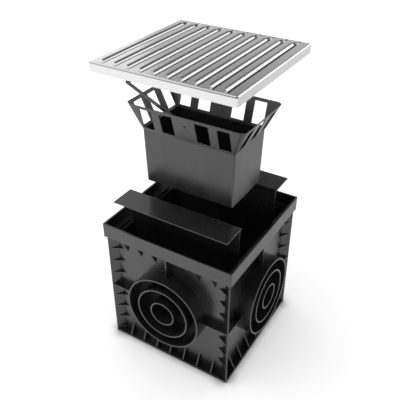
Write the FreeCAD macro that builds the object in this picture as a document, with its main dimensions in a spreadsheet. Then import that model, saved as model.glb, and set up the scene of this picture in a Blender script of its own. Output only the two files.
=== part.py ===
import FreeCAD, Part
import os

# Yard gully shown taken apart: a square moulded box with pipe rings on its four sides, two angled
# baffles, a leaf basket with a swinging handle, and a pressed-steel grate above them all.
# Frame: origin at the centre of the underside of the box, +Z up, the photographed near-left side
# of the box faces -Y and the near-right side faces +X. Millimetres.

os.makedirs("parts", exist_ok=True)
doc = FreeCAD.newDocument("YardGully")
sheet = doc.addObject("Spreadsheet::Sheet", "Sizes")

# A value that starts with = follows from the values above it.
sizes = [
    ("rim_half", "150.0", "half the outside width of the rim"),
    ("box_high", "308.0", "height of the box"),
    ("rim_deep", "31.0", "height of the rim, from its top to its lower edge"),
    ("rim_wall", "3.5", "wall of the rim"),
    ("rim_corner", "2.5", "radius of the corners of the rim"),
    ("seat_deep", "23.0", "depth of the upper ledge, which carries the grate"),
    ("seat_wide", "13.5", "width of the upper ledge"),
    ("seat_thick", "2.5", "thickness of the upper ledge"),
    ("step_deep", "6.0", "depth of the lower ledge, which carries the baffles, below the upper one"),
    ("wall_back", "20.5", "how far the wall of the chamber stands back from the rim"),
    ("wall_thick", "2.0", "wall of the chamber"),
    ("floor_thick", "4.0", "thickness of the floor"),
    ("flange_back", "5.0", "how far the base flange and the corner fins stand back from the rim"),
    ("rim_skirt", "=box_high - rim_deep", "height of the lower edge of the rim"),
    ("seat_high", "=box_high - seat_deep", "height of the upper ledge"),
    ("step_high", "=seat_high - step_deep", "height of the lower ledge"),
    ("rim_open", "=rim_half - rim_wall", "half the inside width of the rim"),
    ("seat_open", "=rim_open - seat_wide", "half the opening in the upper ledge"),
    ("wall_half", "=rim_half - wall_back", "half the outside width of the chamber"),
    ("room_half", "=wall_half - wall_thick", "half the inside width of the chamber"),
    ("frame_half", "=rim_half - flange_back", "half the width over the base flange and corner fins"),
    ("root", "1.0", "how far one feature is sunk into another"),
    ("fin_thick", "3.0", "thickness of the corner fins"),
    ("rib_thick", "3.0", "thickness of the ribs"),
    ("rib_tip", "0.8", "depth of a rib at its point"),
    ("rib_pitch", "35.2", "spacing of the upright ribs"),
    ("top_rib_high", "36.0", "height of the ribs under the rim, below its lower edge"),
    ("foot_rib_high", "31.0", "height of the ribs on the base"),
    ("web_low", "11.0", "height of the lowest corner web"),
    ("web_pitch", "33.0", "spacing of the corner webs"),
    ("web_thick", "2.4", "thickness of the corner webs"),
    ("web_root", "14.0", "how far a corner web reaches along the walls"),
    ("web_tip", "0.4", "half the width of a corner web at the tip of the fin"),
    ("ring_high", "142.5", "height of the axis of the pipe rings"),
    ("ring_out", "14.6", "how far the ring mouths stand out beyond the rim"),
    ("ring_big", "86.2", "outside radius of the large ring"),
    ("ring_mid", "60.8", "outside radius of the middle ring"),
    ("ring_small", "29.0", "outside radius of the small ring"),
    ("ring_wall", "3.2", "wall of the rings"),
    ("socket_deep", "48.0", "depth of the front and rear rings, from the mouth to the plate in them"),
    ("ring_reach", "=rim_half + ring_out", "distance of the ring mouths from the middle"),
    ("socket_face", "=ring_reach - socket_deep", "distance of the plate in a socket from the middle"),
    ("slide_gap", "0.4", "clearance of a piece in its guides"),
    ("basket_gap", "0.5", "clearance round the basket"),
    ("collar_wide", "76.8", "half width of the basket's collar at the rim"),
    ("collar_long", "=room_half - basket_gap", "half length of the collar at the rim"),
    ("flare_wide", "15.3", "how much the collar widens on each long side"),
    ("flare_long", "26.0", "how much the collar widens on each end"),
    ("tub_wide", "=collar_wide - flare_wide", "half width of the tub at the neck"),
    ("tub_long", "=collar_long - flare_long", "half length of the tub at the neck"),
    ("tub_taper", "2.5", "how much the tub narrows on each side towards its floor"),
    ("tub_deep", "115.0", "height of the tub"),
    ("collar_deep", "53.8", "height of the collar"),
    ("basket_wall", "2.0", "wall of the basket"),
    ("tub_round", "5.0", "corner radius of the tub"),
    ("collar_round", "14.0", "corner radius of the collar at the rim"),
    ("window_foot", "4.8", "height of the windows above the neck"),
    ("window_head", "5.7", "depth of the windows below the rim of the collar"),
    ("long_window_near", "24.1", "nearest edge of the inner windows of a long side to the middle"),
    ("long_window_wide", "28.3", "width of the inner windows of a long side"),
    ("long_post", "17.6", "width of the post between the windows of a long side"),
    ("long_corner", "5.4", "how far the outer windows of a long side stop short of the tub's end"),
    ("end_window_half", "12.6", "half the width of the middle window of an end"),
    ("end_post", "18.1", "width of the posts between the windows of an end"),
    ("end_corner", "5.7", "how far the outer windows of an end stop short of the tub's side"),
    ("guide_thick", "3.0", "thickness of a guide for a baffle"),
    ("guide_low", "40.0", "height of the lower end of the guides"),
    ("lug_rise", "30.0", "height of the lugs up the collar, above its neck"),
    ("lug_wide", "8.0", "width of a lug"),
    ("lug_high", "24.0", "height of a lug"),
    ("lug_place", "25.6", "distance of the middle of a lug from the middle plane"),
    ("basket_sunk", "29.8", "how far the rim of the seated basket hangs below the lower ledge"),
    ("lug_top", "=step_high - basket_sunk - collar_deep + lug_rise", "height of the lugs"),
    ("lug_face", "=tub_long + flare_long * lug_rise / collar_deep + slide_gap", "inner face of the lugs"),
    ("baffle_thick", "2.0", "thickness of a baffle"),
    ("baffle_deep", "233.0", "height of a baffle from its flange to its lower edge"),
    ("baffle_end_gap", "3.5", "gap between the ends of a flange and the recess it lies in"),
    ("baffle_side_gap", "1.0", "gap between the outer edge of a flange and the recess"),
    ("stiff_wide", "2.4", "width of a stiffening rib"),
    ("stiff_high", "0.8", "how far a stiffening rib stands out"),
    ("stiff_pitch", "65.0", "spacing of the stiffening ribs"),
    ("stiff_low", "6.0", "height of the stiffening ribs above the lower edge"),
    ("stiff_back", "160.0", "height of the stiffening ribs on the side of the basket"),
    ("baffle_half", "=seat_open - baffle_end_gap", "half the length of a flange"),
    ("baffle_reach", "=seat_open - baffle_side_gap", "outer edge of a flange from the middle"),
    ("baffle_face", "=collar_wide + basket_gap", "inner face of a baffle from the middle"),
    ("plate_half", "=room_half - slide_gap", "half the length of a hanging plate"),
    ("baffle_up", "51.0", "height of the flanges above the box, as the photograph shows them"),
    ("basket_up", "24.2", "height of the basket above the flanges, as shown"),
    ("grate_up", "97.7", "height of the flats of the grate above the basket's rim, as shown"),
    ("baffle_top", "=box_high + baffle_up", "height of the flanges"),
    ("basket_low", "=baffle_top + basket_up", "height of the underside of the basket"),
    ("basket_neck", "=basket_low + tub_deep", "height where its collar begins"),
    ("basket_rim", "=basket_neck + collar_deep", "height of the rim of the collar"),
    ("pivot_deep", "21.0", "depth of the handle pivots below the rim of the collar"),
    ("arm_inset", "10.0", "how far an arm stands in from the side of the collar's rim"),
    ("handle_over", "9.0", "how far the handle reaches past the edge of the upper ledge"),
    ("handle_wide", "6.0", "width of an arm"),
    ("handle_thick", "2.5", "thickness of an arm"),
    ("handle_lean", "24.4", "angle of the handle above the level, as shown"),
    ("eye_radius", "5.2", "radius of the round foot of an arm"),
    ("grip_wide", "5.0", "width of the cross bar"),
    ("peg_long", "5.6", "length of a pivot peg beyond the arm"),
    ("peg_radius", "2.9", "radius of the pivot pegs"),
    ("peg_hole", "3.0", "radius of the peg holes"),
    ("handle_pivot", "=basket_rim - pivot_deep", "height of the handle pivots"),
    ("handle_plane", "=collar_wide - arm_inset", "outer face of an arm from the middle"),
    ("handle_long", "=seat_open + handle_over", "reach of the handle from its pivots"),
    ("grate_gap", "1.8", "clearance of the grate in the rim"),
    ("grate_deep", "17.3", "height of the grate's folded rim"),
    ("grate_sheet", "1.6", "thickness of the sheet"),
    ("grate_fold", "4.2", "outside radius of the folds"),
    ("grate_half", "=rim_open - grate_gap", "half the width of the grate"),
    ("grate_top", "=basket_rim + grate_up", "height of the flats of the grate"),
    ("louvre_edge", "24.1", "how far the row of louvres starts from the edge of the grate"),
    ("louvre_deep", "7.0", "how far a louvre falls below the flats"),
    ("louvre_radius", "10.6", "radius of the sweep of a louvre"),
    ("louvre_open", "16.2", "width of the opening in the flats at a louvre"),
    ("louvre_foot", "5.2", "how far that opening reaches beyond its place in the row"),
    ("louvre_stop", "17.8", "how far the level run of a louvre stops short of the edge"),
    ("louvre_rise", "28.0", "angle at which the two ends of a louvre rise to the flats"),
    ("louvre_pitch", "=(grate_half - louvre_edge) / 4.5", "spacing of the ten louvres"),
    ("louvre_end", "=grate_half - louvre_stop", "end of the level run from the middle"),
    ("louvre_reach", "=louvre_end + louvre_deep / tan(louvre_rise)", "end of a louvre from the middle"),
]
for row, (alias, value, words) in enumerate(sizes, start=1):
    sheet.set("A%d" % row, words)
    sheet.set("B%d" % row, value)
    sheet.setAlias("B%d" % row, alias)
doc.recompute()
value_of = {alias: float(getattr(sheet, alias)) for alias, value, words in sizes}


def bind(text):
    """Writes each alias in an expression as a reference to the sheet."""
    out = []
    word = ""
    for letter in text + " ":
        if letter.isalnum() or letter in "_.":
            word += letter
            continue
        out.append("Sizes." + word if word in value_of else word)
        word = ""
        out.append(letter)
    return "".join(out).strip()


def turned(angle):
    """The placement that turns a feature about the middle of the box."""
    return "placement(vector(0; 0; 0); rotation(vector(0; 0; 1); %d))" % angle


def place(obj, at, spin=None, about=None):
    """Binds the placement of obj: at is its corner, spin an axis and angle, about a first placement."""
    x, y, z = (bind(part) for part in at)
    axis, angle = spin if spin else ((0, 0, 1), "0")
    local = "placement(vector(%s; %s; %s); rotation(vector(%s; %s; %s); %s))" % (
        (x, y, z) + tuple(axis) + (bind(angle),))
    if about:
        local = bind(about) + " * " + local
    obj.setExpression("Placement", local)
    return obj


def add_box(name, at, size, spin=None, about=None):
    obj = doc.addObject("Part::Box", name)
    for prop, text in zip(("Length", "Width", "Height"), size):
        obj.setExpression(prop, bind(text))
    return place(obj, at, spin, about)


def add_square(name, half, low, high):
    """A square block centred on the middle of the box, between two heights."""
    wide = "2 * (%s)" % half
    return add_box(name, ("-(%s)" % half, "-(%s)" % half, low), (wide, wide, "%s - (%s)" % (high, low)))


def add_cylinder(name, at, radius, length, spin=None, about=None):
    obj = doc.addObject("Part::Cylinder", name)
    obj.setExpression("Radius", bind(radius))
    obj.setExpression("Height", bind(length))
    return place(obj, at, spin, about)


def add_pipe_round(name, start, radius, end, about=None):
    """A cylinder on the axis of the rings that face -Y, from start to end out from the middle."""
    return add_cylinder(name, ("0", "-(%s)" % start, "ring_high"), radius, "%s - (%s)" % (end, start),
                        ((1, 0, 0), "90"), about)


def add_wedge(name, at, low, high, low_end, high_end, spin=None, about=None):
    """A block that tapers from its start to its end along Y: each end is a rectangle in X and Z."""
    obj = doc.addObject("Part::Wedge", name)
    texts = {"Xmin": low[0], "Ymin": low[1], "Zmin": low[2], "Xmax": high[0], "Ymax": high[1],
             "Zmax": high[2], "X2min": low_end[0], "Z2min": low_end[1], "X2max": high_end[0],
             "Z2max": high_end[1]}
    for prop, text in texts.items():
        obj.setExpression(prop, bind(text))
    return place(obj, at, spin, about)


def add_fuse(name, shapes):
    obj = doc.addObject("Part::MultiFuse", name)
    obj.Shapes = shapes
    return obj


def add_cut(name, base, tool):
    obj = doc.addObject("Part::Cut", name)
    obj.Base = base
    obj.Tool = tool
    return obj


def add_turned(source, name, angle):
    """The same ribs again, turned about the middle of the box."""
    obj = doc.addObject("App::Link", name)
    obj.LinkedObject = source
    obj.Placement = FreeCAD.Placement(
        FreeCAD.Vector(0, 0, 0), FreeCAD.Rotation(FreeCAD.Vector(0, 0, 1), angle))
    return obj


def edges_where(obj, test):
    """Numbers of the edges of obj that pass the test."""
    doc.recompute()
    return [number for number, edge in enumerate(obj.Shape.Edges, start=1) if test(edge)]


def upright(edge):
    return edge.BoundBox.ZLength > edge.Length / 2


def add_fillet(name, source, edges):
    obj = doc.addObject("Part::Fillet", name)
    obj.Base = source
    obj.Edges = edges
    return obj


# The chamber: a square tube on a square base flange, with a stepped rim on top.
chamber = add_square("Chamber", "wall_half", "0", "step_high - wall_thick / 2")
base_flange = add_square("BaseFlange", "frame_half", "0", "floor_thick")
step_block = add_square("StepBlock", "seat_open + wall_thick", "step_high - wall_thick",
                        "seat_high - seat_thick / 2")
room = add_square("Room", "room_half", "floor_thick", "box_high")
step_room = add_square("StepRoom", "seat_open", "step_high", "box_high")
middle_rib = add_square("MiddleRib", "frame_half", "ring_high - rib_thick / 2", "ring_high + rib_thick / 2")

rim_block = add_square("RimBlock", "rim_half", "rim_skirt", "box_high")
corner = value_of["rim_corner"]
rim_round = add_fillet("RimRound", rim_block,
                       [(number, corner, corner) for number in edges_where(rim_block, upright)])
rim_tools = add_fuse("RimTools", [
    add_square("RimSeat", "rim_open", "seat_high", "box_high"),
    add_square("RimUnder", "rim_open", "rim_skirt", "seat_high - seat_thick"),
    add_square("RimOpening", "seat_open", "rim_skirt", "box_high"),
])
rim = add_cut("Rim", rim_round, rim_tools)

# Ribs and rings of one side, drawn on the side that faces -Y and repeated on the other three.
side = []
for step in (-3, -2, -1, 1, 2, 3):
    where = "%d * rib_pitch - rib_thick / 2" % step
    side.append(add_wedge("TopRib%d" % step, (where, "-wall_half + root", "seat_high - seat_thick / 2"),
                          ("0", "0", "-(wall_back + root - rib_tip)"),
                          ("rib_thick", "seat_high - seat_thick / 2 - rim_skirt + top_rib_high", "0"),
                          ("0", "-rib_tip"), ("rib_thick", "0"), ((1, 0, 0), "-90")))
for step in (-3, -2, -1, 0, 1, 2, 3):
    where = "%d * rib_pitch - rib_thick / 2" % step
    side.append(add_wedge("FootRib%d" % step, (where, "-wall_half + root", "floor_thick / 2"),
                          ("0", "0", "0"),
                          ("rib_thick", "floor_thick / 2 + foot_rib_high", "frame_half - wall_half + root"),
                          ("0", "0"), ("rib_thick", "rib_tip"), ((1, 0, 0), "90")))
side.append(add_box("UprightRib", ("-rib_thick / 2", "-frame_half", "ring_high + ring_big - ring_wall / 2"),
                    ("rib_thick", "frame_half - wall_half + root",
                     "seat_high - seat_thick / 2 - ring_high - ring_big + ring_wall / 2")))
for label, radius in (("Big", "ring_big"), ("Mid", "ring_mid"), ("Small", "ring_small")):
    outside = add_pipe_round("Ring%sOut" % label, "wall_half - root", radius, "ring_reach")
    inside = add_pipe_round("Ring%sIn" % label, "wall_half - root", radius + " - ring_wall", "ring_reach")
    side.append(add_cut("Ring" + label, outside, inside))
side_all = add_fuse("SideAll", side)

# One corner: an upright fin set at 45 degrees, with level webs on both sides of it. No web stands
# at the height of the middle rib.
diagonal = "(frame_half - wall_half) * sqrt(2)"
corner_parts = [add_box("CornerFin", ("-fin_thick / 2", "-root", "0"),
                        ("fin_thick", diagonal + " + root", "seat_high - seat_thick / 2"), None,
                        "placement(vector(wall_half; -wall_half; 0); rotation(vector(0; 0; 1); -135))")]
for step in (0, 1, 2, 3, 5, 6, 7):
    corner_parts.append(add_wedge("CornerWeb%d" % step,
                                  ("wall_half", "-wall_half", "web_low + %d * web_pitch" % step),
                                  ("-web_root / sqrt(2)", "-web_root / sqrt(2)", "0"),
                                  ("web_root / sqrt(2)", diagonal, "web_thick"),
                                  ("-web_tip", "0"), ("web_tip", "web_thick"), ((0, 0, 1), "-135")))
corner_ribs = add_fuse("CornerRibs", corner_parts)

# The outside in one piece, hollowed.
ring_space = add_fuse("RingSpace", [
    add_pipe_round("RingClear%d" % turn, "wall_half", "ring_big - ring_wall / 2", "ring_reach", turned(turn))
    for turn in (0, 90, 180, 270)])
body_outer = add_fuse("BodyOuter", [
    chamber, base_flange, step_block, add_cut("MiddleRibClear", middle_rib, ring_space),
    side_all, corner_ribs]
    + [add_turned(side_all, "SideTurned%d" % turn, turn) for turn in (90, 180, 270)]
    + [add_turned(corner_ribs, "CornerTurned%d" % turn, turn) for turn in (90, 180, 270)])
body_open = add_cut("BodyOpen", body_outer, add_fuse("BodyRoom", [room, step_room]))

# The rings of the front and the rear go on through the wall to a plate inside the chamber.
socket_outs = []
socket_bores = []
socket_tubes = []
for turn in (0, 180):
    about = turned(turn)
    socket_outs.append(add_pipe_round("SocketOut%d" % turn, "socket_face - wall_thick", "ring_big",
                                      "wall_half - wall_thick / 2", about))
    socket_bores.append(add_pipe_round("SocketBore%d" % turn, "socket_face", "ring_big - ring_wall",
                                       "wall_half", about))
    for label, radius in (("Mid", "ring_mid"), ("Small", "ring_small")):
        outside = add_pipe_round("Tube%sOut%d" % (label, turn), "socket_face - root", radius,
                                 "wall_half + root", about)
        inside = add_pipe_round("Tube%sIn%d" % (label, turn), "socket_face", radius + " - ring_wall",
                                "wall_half + root", about)
        socket_tubes.append(add_cut("Tube%s%d" % (label, turn), outside, inside))
body_socket = add_cut("BodySocket", add_fuse("BodyPlates", [body_open] + socket_outs),
                      add_fuse("SocketBores", socket_bores))

# Inside the chamber: guides for the baffles and lugs for the basket, on the two sides across X.
inside_parts = []
for end in (0, 180):
    about = turned(end)
    for flip in (1, -1):
        for label, low in (("Near", "baffle_face - slide_gap - guide_thick"),
                           ("Far", "baffle_face + baffle_thick + slide_gap")):
            along = low if flip == 1 else "-(" + low + ") - guide_thick"
            inside_parts.append(add_box("Guide%s%d%d" % (label, end, flip),
                                        ("room_half - guide_thick", along, "guide_low"),
                                        ("guide_thick + root", "guide_thick", "step_high - root - guide_low"),
                                        None, about))
        lug_long = "room_half + root - lug_face"
        inside_parts.append(add_wedge("Lug%d%d" % (end, flip),
                                      ("lug_face", "%d * lug_place + lug_wide / 2" % flip, "lug_top"),
                                      ("0", "0", "0"), ("lug_wide", "lug_high", lug_long),
                                      ("0", "room_half - lug_face"), ("lug_wide", lug_long),
                                      ((-1, 1, -1), "120"), about))
gully_box = add_fuse("GullyBox", [body_socket, rim] + socket_tubes + inside_parts)

# The baffles: folded plates with a wide level flange and three shallow stiffening ribs.


def add_baffle(name, turn):
    about = turned(turn)
    parts = [
        add_box(name + "Flange", ("-baffle_half", "baffle_face", "baffle_top - baffle_thick"),
                ("2 * baffle_half", "baffle_reach - baffle_face", "baffle_thick"), None, about),
        add_box(name + "Plate", ("-plate_half", "baffle_face", "baffle_top - baffle_deep"),
                ("2 * plate_half", "baffle_thick", "baffle_deep"), None, about),
    ]
    for step in (-1, 0, 1):
        where = "%d * stiff_pitch - stiff_wide / 2" % step
        low = "baffle_top - baffle_deep + stiff_low"
        parts.append(add_box("%sRib%d" % (name, step), (where, "baffle_face + baffle_thick / 2", low),
                             ("stiff_wide", "baffle_thick / 2 + stiff_high",
                              "baffle_deep - stiff_low - baffle_thick / 2"), None, about))
        parts.append(add_box("%sNearRib%d" % (name, step), (where, "baffle_face - basket_gap", low),
                             ("stiff_wide", "basket_gap + baffle_thick / 2", "stiff_back"), None, about))
    return add_fuse(name, parts)


front_baffle = add_baffle("FrontBaffle", 180)
rear_baffle = add_baffle("RearBaffle", 0)

# The basket: a closed tub with a flared collar, pierced by windows and by the two peg holes.


def add_taper(name, low_x, low_y, low_z, high_x, high_y, high_z, shrink):
    """A block with a rectangle below and another above; shrink takes the wall off each side."""
    obj = doc.addObject("Part::Wedge", name)
    texts = {"Xmin": "-(%s - %s)" % (low_x, shrink), "Xmax": "%s - %s" % (low_x, shrink),
             "Zmin": "-(%s - %s)" % (low_y, shrink), "Zmax": "%s - %s" % (low_y, shrink),
             "X2min": "-(%s - %s)" % (high_x, shrink), "X2max": "%s - %s" % (high_x, shrink),
             "Z2min": "-(%s - %s)" % (high_y, shrink), "Z2max": "%s - %s" % (high_y, shrink),
             "Ymin": low_z, "Ymax": high_z}
    for prop, text in texts.items():
        obj.setExpression(prop, bind(text))
    return place(obj, ("0", "0", "0"), ((1, 0, 0), "90"))


def add_rounded(name, source, small, large):
    """Rounds the four upright edges, from one radius below to another above."""
    chosen = []
    for number in edges_where(source, upright):
        edge = source.Shape.Edges[number - 1]
        rising = edge.valueAt(edge.LastParameter).z > edge.valueAt(edge.FirstParameter).z
        chosen.append((number, small, large) if rising else (number, large, small))
    return add_fillet(name, source, chosen)


tub_low = ("tub_long - tub_taper", "tub_wide - tub_taper")
tub_out = add_taper("TubOut", tub_low[0], tub_low[1], "basket_low", "tub_long", "tub_wide",
                    "basket_neck", "0")
tub_in = add_taper("TubIn", tub_low[0], tub_low[1], "basket_low + basket_wall", "tub_long", "tub_wide",
                   "basket_neck", "basket_wall")
collar_out = add_taper("CollarOut", "tub_long", "tub_wide", "basket_neck", "collar_long", "collar_wide",
                       "basket_rim", "0")
collar_in = add_taper("CollarIn", "tub_long", "tub_wide", "basket_neck", "collar_long", "collar_wide",
                      "basket_rim", "basket_wall")
small = value_of["tub_round"]
large = value_of["collar_round"]
wall = value_of["basket_wall"]
basket_out = add_fuse("BasketOut", [add_rounded("TubOutRound", tub_out, small, small),
                                    add_rounded("CollarOutRound", collar_out, small, large)])
basket_in = add_fuse("BasketIn", [add_rounded("TubInRound", tub_in, small - wall, small - wall),
                                  add_rounded("CollarInRound", collar_in, small - wall, large - wall)])
basket_shell = add_cut("BasketShell", basket_out, basket_in)

long_far = "long_window_near + long_window_wide + long_post"
end_far = "end_window_half + end_post"
window_span = ("basket_neck + window_foot", "collar_deep - window_foot - window_head")
windows = []
for place_word, low, wide in (("Inner", "long_window_near", "long_window_wide"),
                              ("Outer", long_far, "tub_long - long_corner - (%s)" % long_far)):
    for side_word, start in (("Left", "-(%s) - (%s)" % (low, wide)), ("Right", low)):
        windows.append(add_box("LongWindow" + place_word + side_word, (start, "-collar_wide", window_span[0]),
                               (wide, "2 * collar_wide", window_span[1])))
windows.append(add_box("EndWindowMiddle", ("-collar_long", "-end_window_half", window_span[0]),
                       ("2 * collar_long", "2 * end_window_half", window_span[1])))
for label, start in (("Front", "-tub_wide + end_corner"), ("Rear", end_far)):
    windows.append(add_box("EndWindow" + label, ("-collar_long", start, window_span[0]),
                           ("2 * collar_long", "tub_wide - end_corner - (%s)" % end_far, window_span[1])))
windows.append(add_cylinder("PegHoles", ("0", "collar_wide", "handle_pivot"), "peg_hole", "2 * collar_wide",
                            ((1, 0, 0), "90")))
basket = add_cut("Basket", basket_shell, add_fuse("BasketWindows", windows))

# The handle: two flat arms, a cross bar and a peg at each foot that turns in the basket's collar.
lean = "placement(vector(0; 0; handle_pivot); rotation(vector(0; 1; 0); handle_lean))"
handle_parts = []
for label, inner, outer in (("Rear", "handle_plane - handle_thick", "handle_plane"),
                            ("Front", "-handle_plane", "-handle_plane + handle_thick")):
    handle_parts.append(add_box("Arm" + label, ("-handle_long + root", inner, "-handle_wide / 2"),
                                ("handle_long - root", "handle_thick", "handle_wide"), None, lean))
    handle_parts.append(add_cylinder("Eye" + label, ("0", outer, "0"), "eye_radius", "handle_thick",
                                     ((1, 0, 0), "90"), lean))
for label, outer in (("Rear", "handle_plane + peg_long"), ("Front", "-handle_plane + root")):
    handle_parts.append(add_cylinder("Peg" + label, ("0", outer, "0"), "peg_radius", "peg_long + root",
                                     ((1, 0, 0), "90"), lean))
handle_parts.append(add_box("GripBar", ("-handle_long", "-handle_plane", "-handle_wide / 2"),
                            ("grip_wide", "2 * handle_plane", "handle_wide"), None, lean))
basket_handle = add_fuse("BasketHandle", handle_parts)

# The grate: one sheet folded down on four sides, with ten long louvres pressed down out of it.
# Each falls in a round sweep towards +X, rises to the flats at both ends and leaves a slot
# along its +X side.


def add_folded(name, source, radius):
    """Rounds the upright edges and the edges of the top."""
    top = source.Shape.BoundBox.ZMax
    edges = edges_where(source, lambda edge: upright(edge) or edge.BoundBox.ZMin > top - radius / 2)
    return add_fillet(name, source, [(number, radius, radius) for number in edges])


pan_block = add_square("PanBlock", "grate_half", "grate_top - grate_deep", "grate_top")
pan_space = add_square("PanSpace", "grate_half - grate_sheet", "grate_top - grate_deep - root",
                       "grate_top - grate_sheet")
doc.recompute()
fold = value_of["grate_fold"]
pan = add_cut("Pan", add_folded("PanRound", pan_block, fold),
              add_folded("PanInner", pan_space, fold - value_of["grate_sheet"]))


def add_louvre(name, start, shrink, drop, low):
    """The round block under one louvre: a level run, and an end on each side that rises."""
    radius = "louvre_radius - " + shrink
    parts = []
    for label, pivot, begin, length, rise in (
            ("Run", "0", "-louvre_end", "2 * louvre_end", "0"),
            ("Rear", "louvre_end", "0", "louvre_stop", "louvre_rise"),
            ("Front", "-louvre_end", "-louvre_stop", "louvre_stop", "-louvre_rise")):
        frame = "placement(vector(%s; %s; grate_top - louvre_deep); rotation(vector(1; 0; 0); %s))" % (
            start, pivot, rise)
        piece = doc.addObject("Part::Common", name + label)
        piece.Base = add_cylinder(name + label + "Round", ("0", begin, "louvre_deep - louvre_radius"),
                                  radius, length, ((1, 0, 0), "-90"), frame)
        piece.Tool = add_box(name + label + "Block", ("0", begin, "-" + low),
                             ("louvre_radius", length, "louvre_deep + " + low), None, frame)
        parts.append(piece)
    kept = doc.addObject("Part::Common", name)
    kept.Base = add_fuse(name + "Whole", parts)
    kept.Tool = add_box(name + "Window", (start, "-louvre_reach", "grate_top - 2 * louvre_deep"),
                        ("louvre_radius", "2 * louvre_reach", "2 * louvre_deep - " + drop))
    return kept


sweeps = []
hollows = []
slots = []
for number in range(10):
    start = "%.1f * louvre_pitch + louvre_foot - louvre_open" % (number - 4.5)
    sweeps.append(add_louvre("Sweep%d" % number, start, "0", "0", "0"))
    hollows.append(add_louvre("Hollow%d" % number, start, "grate_sheet", "grate_sheet", "root"))
    slots.append(add_box("Slot%d" % number, (start, "-louvre_reach", "grate_top - grate_sheet - root"),
                         ("louvre_open", "2 * louvre_reach", "grate_sheet + 2 * root")))
sheet_open = add_cut("SheetOpen", pan, add_fuse("Slots", slots))
grate = add_cut("Grate", add_fuse("GrateSkin", [sheet_open] + sweeps), add_fuse("LouvreHollows", hollows))

doc.recompute()

nodes = {
    "gully_box": gully_box,
    "front_baffle": front_baffle,
    "rear_baffle": rear_baffle,
    "leaf_basket": basket,
    "basket_handle": basket_handle,
    "grate": grate,
}
for name, obj in nodes.items():
    obj.Label = name
doc.recompute()

for obj in doc.Objects:
    if "Invalid" in obj.State or "Error" in obj.State:
        raise RuntimeError("failed object: " + obj.Name)
for name, obj in nodes.items():
    shape = obj.Shape
    if shape.isNull() or not shape.isValid():
        raise RuntimeError("bad shape: " + name)
    if len(shape.Solids) != 1:
        raise RuntimeError("%s has %d solids" % (name, len(shape.Solids)))
    box = shape.BoundBox
    print("%s volume %.0f mm3, from (%.1f, %.1f, %.1f) to (%.1f, %.1f, %.1f)" % (
        name, shape.Volume, box.XMin, box.YMin, box.ZMin, box.XMax, box.YMax, box.ZMax))
for name, obj in nodes.items():
    obj.Shape.exportStep("parts/%s.step" % name)
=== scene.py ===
import math
import bmesh
import bpy
from mathutils import Matrix, Vector

# A yard gully lifted apart: a moulded black box with pipe rings, two baffles, a leaf basket with
# its handle, and a pressed steel grate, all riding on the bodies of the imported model. Metres.

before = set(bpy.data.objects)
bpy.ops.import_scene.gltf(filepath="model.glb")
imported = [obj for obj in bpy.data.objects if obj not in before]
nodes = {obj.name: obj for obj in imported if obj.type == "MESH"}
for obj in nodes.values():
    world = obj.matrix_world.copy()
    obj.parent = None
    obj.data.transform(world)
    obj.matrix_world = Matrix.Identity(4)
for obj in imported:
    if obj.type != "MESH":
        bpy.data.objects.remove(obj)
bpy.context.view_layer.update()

MM = 0.001
BLACK_PLASTIC_NODES = ("gully_box", "front_baffle", "rear_baffle", "leaf_basket", "basket_handle")

# The camera stands where the photographer's stood. Angles, metres, and millimetres for the lens.
CAMERA_AZIMUTH = math.radians(31.361)
CAMERA_ELEVATION = math.radians(33.990)
CAMERA_ROLL = math.radians(0.114)
CAMERA_DISTANCE = 1.17469
CAMERA_TARGET = Vector((-0.00851, 0.0, 0.33016))
CAMERA_LENS = 50.47
CAMERA_SENSOR = 36.0
CAMERA_CLIP_END = 100.0

FLOOR_RADIUS = 14.0
FLOOR_SEGMENTS = 96
FLOOR_PAINT = 0.6
# Distances from the middle between which the floor's glow rises, and the glow at each.
FLOOR_GLOW = (1.0, 3.5, 0.79, 1.0)
# Reach and depth of the floor's two shades: the dark line of contact and the wide faint one.
FLOOR_SHADES = ((0.032, 2.4), (0.45, 0.38))
SHADE_SAMPLES = 8
# Places along Y between which the floor's mirrored brightness falls, and its share at each.
MIRRORED_FLOOR_FADE = (-0.3, 0.3, 1.0, 0.64)

# The upward part of a direction, and the grey of the studio there.
STUDIO_GREYS = ((0.0, 1.0), (0.2, 1.0), (0.276, 0.75), (0.342, 0.5), (0.4, 0.22), (0.56, 0.09))
WHITE = (1.0, 1.0, 1.0, 1.0)
# Name, place, side, watts, whether the object mirrors it, and the point it faces.
SOFTBOXES = (
    ("overhead_softbox", (-0.9, -1.2, 2.4), 1.8, 15.0, False, (0.0, 0.0, 0.3)),
    ("left_softbox", (-1.9, 1.08, 1.55), 1.7, 5.4, True, (0.0, 0.0, 0.3)),
    ("right_softbox", (1.47, 4.03, 3.22), 3.0, 37.0, True, (0.0, 0.0, 0.6)),
    ("upper_left_panel", (-1.43, -0.12, 2.7), 3.2, 29.0, True, (0.0, 0.0, 0.6)),
)

# Each noise: features per metre along X, Y and Z, and the detail in them. Each bump: strength and
# depth. Greys and roughnesses run from the low end of their noise to its high end.
NOISE_ENDS = (0.3, 0.7)
EDGE_SAMPLES = 6
PLASTIC_IOR = 1.5
PLASTIC_SPECULAR = 0.9
PLASTIC_GREYS = (0.014, 0.021)
PLASTIC_ROUGHNESS = (0.24, 0.31)
PLASTIC_EDGE = 0.7 * MM
PLASTIC_MOTTLE = ((14.0, 14.0, 14.0), 4.0)
PLASTIC_FLOW = ((30.0, 30.0, 5.0), 3.0)
PLASTIC_FLOW_BUMP = (0.25, 0.4 * MM)
PLASTIC_GRAIN = ((1500.0, 1500.0, 1500.0), 2.0)
PLASTIC_GRAIN_BUMP = (0.12, 0.08 * MM)
ZINC_GREYS = (0.68, 0.72)
ZINC_ROUGHNESS = (0.19, 0.23)
ZINC_EDGE = 0.4 * MM
ZINC_CRYSTALS = ((90.0, 90.0, 90.0), 2.0)
ZINC_ROLLING = ((1200.0, 14.0, 1200.0), 2.0)
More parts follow.
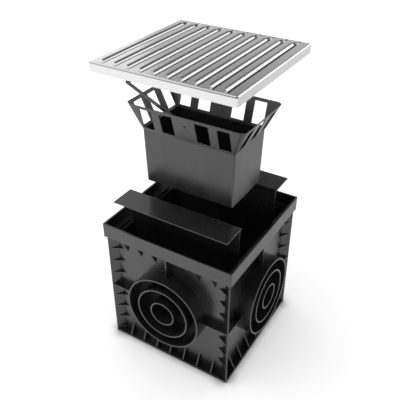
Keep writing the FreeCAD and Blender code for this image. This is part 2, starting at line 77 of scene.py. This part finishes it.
ZINC_ROLLING_BUMP = (0.03, 0.01 * MM)

# How far below the flats a louvre's painted shade starts and how far below it is full, the
# near-black colour painted there as shade, the least upward lean of a face that takes it, and how
# wide the grate's folds are.
SWEEP_SHADE = (2.9 * MM, 3.7 * MM)
SWEEP_PAINTED_DARK = (0.02, 0.02, 0.02, 1.0)
SWEEP_LEAN = 0.1
GRATE_FOLD = 4.6 * MM


def place_camera():
    """The photograph's view, with its slight roll."""
    back = Vector((math.sin(CAMERA_AZIMUTH) * math.cos(CAMERA_ELEVATION),
                   -math.cos(CAMERA_AZIMUTH) * math.cos(CAMERA_ELEVATION),
                   math.sin(CAMERA_ELEVATION)))
    level_right = Vector((math.cos(CAMERA_AZIMUTH), math.sin(CAMERA_AZIMUTH), 0.0))
    level_up = back.cross(level_right)
    right = math.cos(CAMERA_ROLL) * level_right + math.sin(CAMERA_ROLL) * level_up
    up = math.cos(CAMERA_ROLL) * level_up - math.sin(CAMERA_ROLL) * level_right
    camera_data = bpy.data.cameras.new("camera")
    camera_data.lens = CAMERA_LENS
    camera_data.sensor_width = CAMERA_SENSOR
    camera_data.clip_end = CAMERA_CLIP_END
    camera = bpy.data.objects.new("camera", camera_data)
    bpy.context.scene.collection.objects.link(camera)
    turn = Matrix((right, up, back)).transposed().to_4x4()
    camera.matrix_world = Matrix.Translation(CAMERA_TARGET + back * CAMERA_DISTANCE) @ turn
    bpy.context.scene.camera = camera


def empty_tree(owner):
    """The node tree of a material or world, cleared."""
    owner.use_nodes = True
    owner.node_tree.nodes.clear()
    return owner.node_tree


def add_node(tree, kind, settings=None, inputs=None):
    """A shader node with its properties, and each input linked to a socket or set to a value."""
    node = tree.nodes.new(kind)
    for name, value in (settings or {}).items():
        setattr(node, name, value)
    for key, given in (inputs or {}).items():
        if isinstance(given, bpy.types.NodeSocket):
            tree.links.new(given, node.inputs[key])
        else:
            node.inputs[key].default_value = given
    return node


def arithmetic(tree, operation, *inputs):
    """What a maths node makes of sockets and numbers."""
    node = add_node(tree, "ShaderNodeMath", {"operation": operation}, dict(enumerate(inputs)))
    return node.outputs["Value"]


def map_range(tree, source, from_min, from_max, to_min, to_max):
    """A value mapped from one range onto another and kept inside it."""
    node = add_node(tree, "ShaderNodeMapRange", None,
                    {"Value": source, "From Min": from_min, "From Max": from_max,
                     "To Min": to_min, "To Max": to_max})
    return node.outputs["Result"]


def grey_ramp(tree, source, stops):
    """A colour ramp of greys along a value."""
    node = add_node(tree, "ShaderNodeValToRGB", None, {"Fac": source})
    while len(node.color_ramp.elements) < len(stops):
        node.color_ramp.elements.new(0.5)
    for element, (place, grey) in zip(node.color_ramp.elements, stops):
        element.position = place
        element.color = (grey, grey, grey, 1.0)
    return node.outputs["Color"]


def object_place(tree):
    """The object coordinates of the point that is shaded."""
    return add_node(tree, "ShaderNodeTexCoord").outputs["Object"]


def split(tree, vector):
    """The sockets X, Y and Z of a vector."""
    return add_node(tree, "ShaderNodeSeparateXYZ", None, {"Vector": vector}).outputs


def noise(tree, stretch, detail):
    """Noise on object coordinates."""
    stretched = add_node(tree, "ShaderNodeMapping", None,
                         {"Vector": object_place(tree), "Scale": stretch})
    cloud = add_node(tree, "ShaderNodeTexNoise", None,
                     {"Vector": stretched.outputs["Vector"], "Scale": 1.0, "Detail": detail})
    return cloud.outputs["Fac"]


def soft_edges(tree, radius):
    """The surface normal, rounded off at every edge."""
    node = add_node(tree, "ShaderNodeBevel", {"samples": EDGE_SAMPLES}, {"Radius": radius})
    return node.outputs["Normal"]


def bump(tree, normal, height, strength, depth):
    """A normal made uneven by a height."""
    node = add_node(tree, "ShaderNodeBump", None, {"Normal": normal, "Height": height,
                                                   "Strength": strength, "Distance": depth})
    return node.outputs["Normal"]


def finish_material(tree, shader):
    """The output of a material."""
    add_node(tree, "ShaderNodeOutputMaterial", None, {"Surface": shader})


def moulded_black_plastic():
    """Black recycled plastic straight from the mould: near-black, satin, with a faint fine grain
    and soft flow marks."""
    material = bpy.data.materials.new("moulded_black_plastic")
    tree = empty_tree(material)
    mottle = noise(tree, *PLASTIC_MOTTLE)
    flow = noise(tree, *PLASTIC_FLOW)
    grain = noise(tree, *PLASTIC_GRAIN)
    warped = bump(tree, soft_edges(tree, PLASTIC_EDGE), flow, *PLASTIC_FLOW_BUMP)
    shader = add_node(tree, "ShaderNodeBsdfPrincipled", None, {
        "IOR": PLASTIC_IOR,
        "Specular IOR Level": PLASTIC_SPECULAR,
        "Base Color": grey_ramp(tree, mottle, tuple(zip(NOISE_ENDS, PLASTIC_GREYS))),
        "Roughness": map_range(tree, flow, *NOISE_ENDS, *PLASTIC_ROUGHNESS),
        "Normal": bump(tree, warped, grain, *PLASTIC_GRAIN_BUMP)})
    finish_material(tree, shader.outputs["BSDF"])
    return material


def painted_shade_under_flats(tree):
    """Where shade is painted on the grate: 1 on the top of the sheet where it dips under the
    neighbouring flat, 0 on the flats, the folded rim and the underside."""
    places = split(tree, object_place(tree))
    facing = add_node(tree, "ShaderNodeNewGeometry")
    lean = split(tree, facing.outputs["True Normal"])["Z"]
    corners = nodes["grate"].data.vertices
    flats = max(vertex.co.z for vertex in corners)
    deep = map_range(tree, places["Z"], flats - SWEEP_SHADE[0], flats - SWEEP_SHADE[1], 0.0, 1.0)
    painted_shade_mask = arithmetic(tree, "MULTIPLY", deep, arithmetic(tree, "GREATER_THAN", lean, SWEEP_LEAN))
    for number, axis in enumerate(("X", "Y")):
        low_end = min(vertex.co[number] for vertex in corners)
        high_end = max(vertex.co[number] for vertex in corners)
        inside = arithmetic(tree, "COMPARE", places[axis], (high_end + low_end) / 2.0,
                            (high_end - low_end) / 2.0 - GRATE_FOLD)
        painted_shade_mask = arithmetic(tree, "MULTIPLY", painted_shade_mask, inside)
    return painted_shade_mask


def zinc_steel():
    """Rolled steel sheet with a bright zinc coat: fine rolling lines along the louvres over a
    faint crystal mottle, and shade painted near-black where the louvres dip under the flats."""
    material = bpy.data.materials.new("zinc_steel")
    tree = empty_tree(material)
    crystals = noise(tree, *ZINC_CRYSTALS)
    rolling = noise(tree, *ZINC_ROLLING)
    # Painted shade: the zinc grey gives way to a near-black colour where the louvres dip under
    # the flats.
    coat = add_node(tree, "ShaderNodeMix", {"data_type": "RGBA"}, {
        "A": grey_ramp(tree, crystals, tuple(zip(NOISE_ENDS, ZINC_GREYS))),
        "B": SWEEP_PAINTED_DARK,
        "Factor": painted_shade_under_flats(tree)})
    shader = add_node(tree, "ShaderNodeBsdfPrincipled", None, {
        "Metallic": 1.0,
        "Base Color": coat.outputs["Result"],
        "Roughness": map_range(tree, rolling, *NOISE_ENDS, *ZINC_ROUGHNESS),
        "Normal": bump(tree, soft_edges(tree, ZINC_EDGE), rolling, *ZINC_ROLLING_BUMP)})
    finish_material(tree, shader.outputs["BSDF"])
    return material


def dress(node, material):
    """Gives a CAD node its finish."""
    node.data.materials.clear()
    node.data.materials.append(material)


def seen_directly(tree):
    """1 on rays from the camera, 1 on mirror rays but less where they meet the floor at the
    back, and 0 on the rays that light things."""
    path = add_node(tree, "ShaderNodeLightPath")
    fade = map_range(tree, split(tree, object_place(tree))["Y"], *MIRRORED_FLOOR_FADE)
    mirrored = arithmetic(tree, "MULTIPLY", path.outputs["Is Glossy Ray"], fade)
    return arithmetic(tree, "ADD", path.outputs["Is Camera Ray"], mirrored)


def contact_shade(tree, reach, depth):
    """1 on the open floor, and less where something stands within reach."""
    near = add_node(tree, "ShaderNodeAmbientOcclusion", {"samples": SHADE_SAMPLES},
                    {"Distance": reach})
    return arithmetic(tree, "POWER", near.outputs["AO"], depth)


def white_floor_paint():
    """Glows white for the camera and in reflections; its soft shadow is partly real, from the
    lamps on its paint, and partly painted, by darkening glow and paint near things.
    """
    material = bpy.data.materials.new("white_floor")
    tree = empty_tree(material)
    # Painted shadow: these ambient occlusion factors darken the floor's paint and glow near
    # things.
    shades = [contact_shade(tree, reach, depth) for reach, depth in FLOOR_SHADES]
    shade = arithmetic(tree, "MULTIPLY", *shades)
    paint = add_node(tree, "ShaderNodeBsdfDiffuse", None,
                     {"Color": arithmetic(tree, "MULTIPLY", shade, FLOOR_PAINT)})
    away = add_node(tree, "ShaderNodeVectorMath", {"operation": "LENGTH"},
                    {0: object_place(tree)})
    rising = map_range(tree, away.outputs["Value"], *FLOOR_GLOW)
    seen = arithmetic(tree, "MULTIPLY", seen_directly(tree), rising)
    glow = add_node(tree, "ShaderNodeEmission", None,
                    {"Strength": arithmetic(tree, "MULTIPLY", seen, shade)})
    both = add_node(tree, "ShaderNodeAddShader", None,
                    {0: paint.outputs["BSDF"], 1: glow.outputs["Emission"]})
    finish_material(tree, both.outputs["Shader"])
    return material


def white_floor():
    """A wide white disc under the box."""
    mesh = bpy.data.meshes.new("studio_floor")
    disc = bmesh.new()
    bmesh.ops.create_circle(disc, cap_ends=True, segments=FLOOR_SEGMENTS, radius=FLOOR_RADIUS)
    disc.to_mesh(mesh)
    disc.free()
    mesh.materials.append(white_floor_paint())
    floor = bpy.data.objects.new("studio_floor", mesh)
    bpy.context.scene.collection.objects.link(floor)


def studio_world():
    """White all round at eye level and dark overhead, as in a white-walled studio; the camera
    itself sees plain white."""
    world = bpy.data.worlds.new("studio")
    bpy.context.scene.world = world
    tree = empty_tree(world)
    direction = add_node(tree, "ShaderNodeTexCoord").outputs["Generated"]
    greys = grey_ramp(tree, split(tree, direction)["Z"], STUDIO_GREYS)
    walls = add_node(tree, "ShaderNodeBackground", None, {"Color": greys})
    backdrop = add_node(tree, "ShaderNodeBackground", None, {"Color": WHITE})
    path = add_node(tree, "ShaderNodeLightPath")
    mixed = add_node(tree, "ShaderNodeMixShader", None, {
        "Fac": path.outputs["Is Camera Ray"],
        1: walls.outputs["Background"],
        2: backdrop.outputs["Background"]})
    add_node(tree, "ShaderNodeOutputWorld", None, {"Surface": mixed.outputs["Shader"]})


def add_softbox(name, place, side, watts, mirrored, aim):
    """A square lamp that faces a point, unseen by the camera."""
    lamp_data = bpy.data.lights.new(name, "AREA")
    lamp_data.shape = "SQUARE"
    lamp_data.size = side
    lamp_data.energy = watts
    lamp = bpy.data.objects.new(name, lamp_data)
    bpy.context.scene.collection.objects.link(lamp)
    lamp.location = place
    lamp.visible_glossy = mirrored
    lamp.visible_camera = False
    toward = Vector(aim) - Vector(place)
    lamp.rotation_euler = toward.to_track_quat("-Z", "Y").to_euler()


bpy.context.scene.view_settings.view_transform = "Standard"
place_camera()
studio_world()
white_floor()
for softbox in SOFTBOXES:
    add_softbox(*softbox)

plastic = moulded_black_plastic()
for node_name in BLACK_PLASTIC_NODES:
    dress(nodes[node_name], plastic)
dress(nodes["grate"], zinc_steel())
